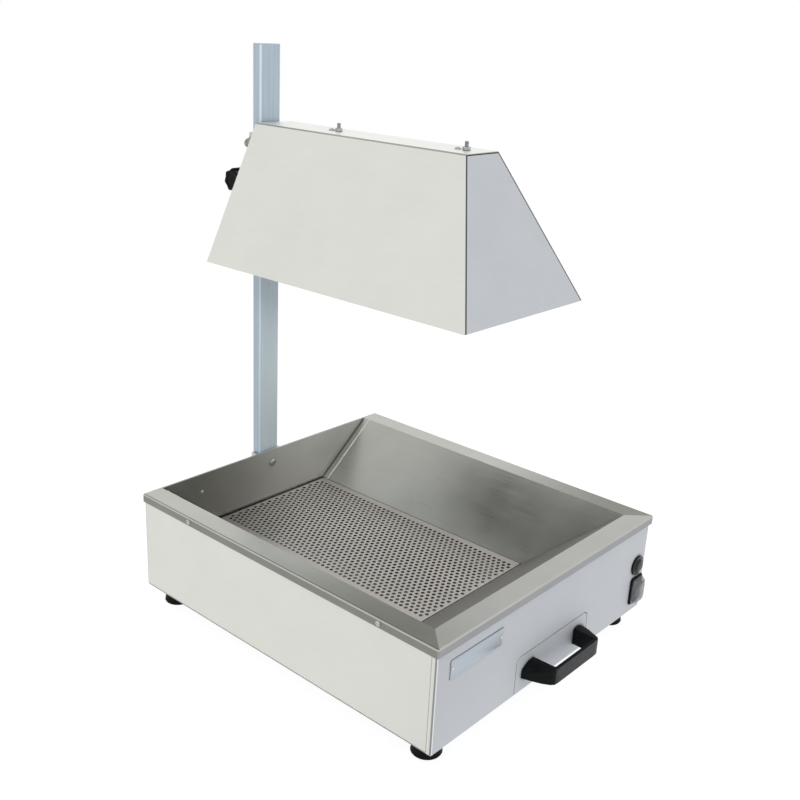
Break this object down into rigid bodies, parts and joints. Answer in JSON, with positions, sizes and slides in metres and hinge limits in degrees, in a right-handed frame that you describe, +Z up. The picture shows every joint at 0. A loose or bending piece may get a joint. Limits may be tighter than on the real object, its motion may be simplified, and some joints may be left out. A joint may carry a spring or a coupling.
{
  "type": "chip warmer",
  "caption": "Counter-top chip warmer: steel casing with a funnel basin over a perforated plate, a crumb drawer, and a lamp hood clamped on a rear post.",
  "frame": {"origin": "centre of the bounding box's footprint, on the floor under the rubber feet", "axes": "+X to the right seen from the front, +Y to the rear, +Z up; the drawer's side faces -Y"},
  "size_m": [0.4478, 0.562, 0.716],
  "materials": {
    "stainless_sheet": "brushed stainless sheet",
    "galvanised_sheet": "dull zinc-coated sheet",
    "zinc_plated_steel": "zinc-plated, semi-bright",
    "bright_aluminium": "polished sheet",
    "black_rubber": "matte moulded",
    "black_plastic": "fine-grained moulded",
    "gloss_black_plastic": "smooth moulded",
    "clear_cover": "soft clear splash cover",
    "lamp_glass": "satin quartz tube"
  },
  "bodies": {
    "base": {"basin": "stainless_sheet", "left_side_panel": "stainless_sheet", "right_side_panel": "stainless_sheet", "front_panel": "stainless_sheet", "rear_panel": "stainless_sheet", "base_plate": "galvanised_sheet", "rubber_feet": "black_rubber", "foot_screws": "zinc_plated_steel", "foot_nuts": "zinc_plated_steel", "rim_rivets": "stainless_sheet", "panel_screws": "zinc_plated_steel", "drawer_runners": "galvanised_sheet", "switch_housing": "black_plastic", "switch_boot": "clear_cover", "thermostat_body": "black_plastic", "thermostat_nut": "zinc_plated_steel", "base_heater": "stainless_sheet", "heater_clips": "galvanised_sheet", "terminal_block": "black_plastic", "cable_gland": "black_plastic", "gland_nut": "black_plastic", "post": "stainless_sheet", "post_cap": "stainless_sheet", "post_bracket": "stainless_sheet", "post_bolts": "zinc_plated_steel", "post_nuts": "zinc_plated_steel"},
    "plate": {"perforated_plate": "stainless_sheet"},
    "drawer": {"drip_tray": "stainless_sheet", "tray_ends": "stainless_sheet", "tray_floor": "stainless_sheet", "drawer_front": "stainless_sheet", "drawer_handle": "black_plastic", "handle_screws": "zinc_plated_steel"},
    "rocker": {"rocker": "black_plastic"},
    "thermostat_control": {"thermostat_spindle": "zinc_plated_steel", "thermostat_knob": "gloss_black_plastic", "knob_cap": "gloss_black_plastic"},
    "hood": {"hood_shell": "stainless_sheet", "hood_front_end": "stainless_sheet", "hood_rear_end": "stainless_sheet", "slide_collar": "stainless_sheet", "collar_screws": "zinc_plated_steel", "collar_nuts": "zinc_plated_steel", "knob_boss": "zinc_plated_steel", "collar_dome_screw": "zinc_plated_steel", "lamp_reflector": "bright_aluminium", "reflector_hangers": "galvanised_sheet", "reflector_studs": "zinc_plated_steel", "stud_nuts": "zinc_plated_steel", "hanger_screws": "zinc_plated_steel", "hanger_nuts": "zinc_plated_steel", "lamp_holders": "black_plastic", "heat_lamp": "lamp_glass", "lamp_guard": "stainless_sheet"},
    "clamp": {"clamp_knob": "black_plastic", "clamp_stud": "zinc_plated_steel"}
  },
  "joints": [
    {"name": "plate_lift", "type": "slide", "parent": "base", "child": "plate", "axis": [0, 0, 1], "range_m": [0, 0.09]},
    {"name": "drawer_slide", "type": "slide", "parent": "base", "child": "drawer", "axis": [0, -1, 0], "range_m": [0, 0.4]},
    {"name": "rocker_tilt", "type": "hinge", "parent": "base", "child": "rocker", "pos_m": [0.202, -0.24505, 0.0545], "axis": [-1, 0, 0], "range_deg": [0, 20]},
    {"name": "thermostat_turn", "type": "hinge", "parent": "base", "child": "thermostat_control", "pos_m": [0.1985, -0.25, 0.0915], "axis": [0, -1, 0], "range_deg": [0, 270]},
    {"name": "hood_height", "type": "slide", "parent": "base", "child": "hood", "axis": [0, 0, 1], "range_m": [-0.25, 0.1]},
    {"name": "clamp_turn", "type": "hinge", "parent": "hood", "child": "clamp", "pos_m": [-0.04, 0.26585, 0.547], "axis": [-1, 0, 0], "range_deg": [0, 360]}
  ]
}
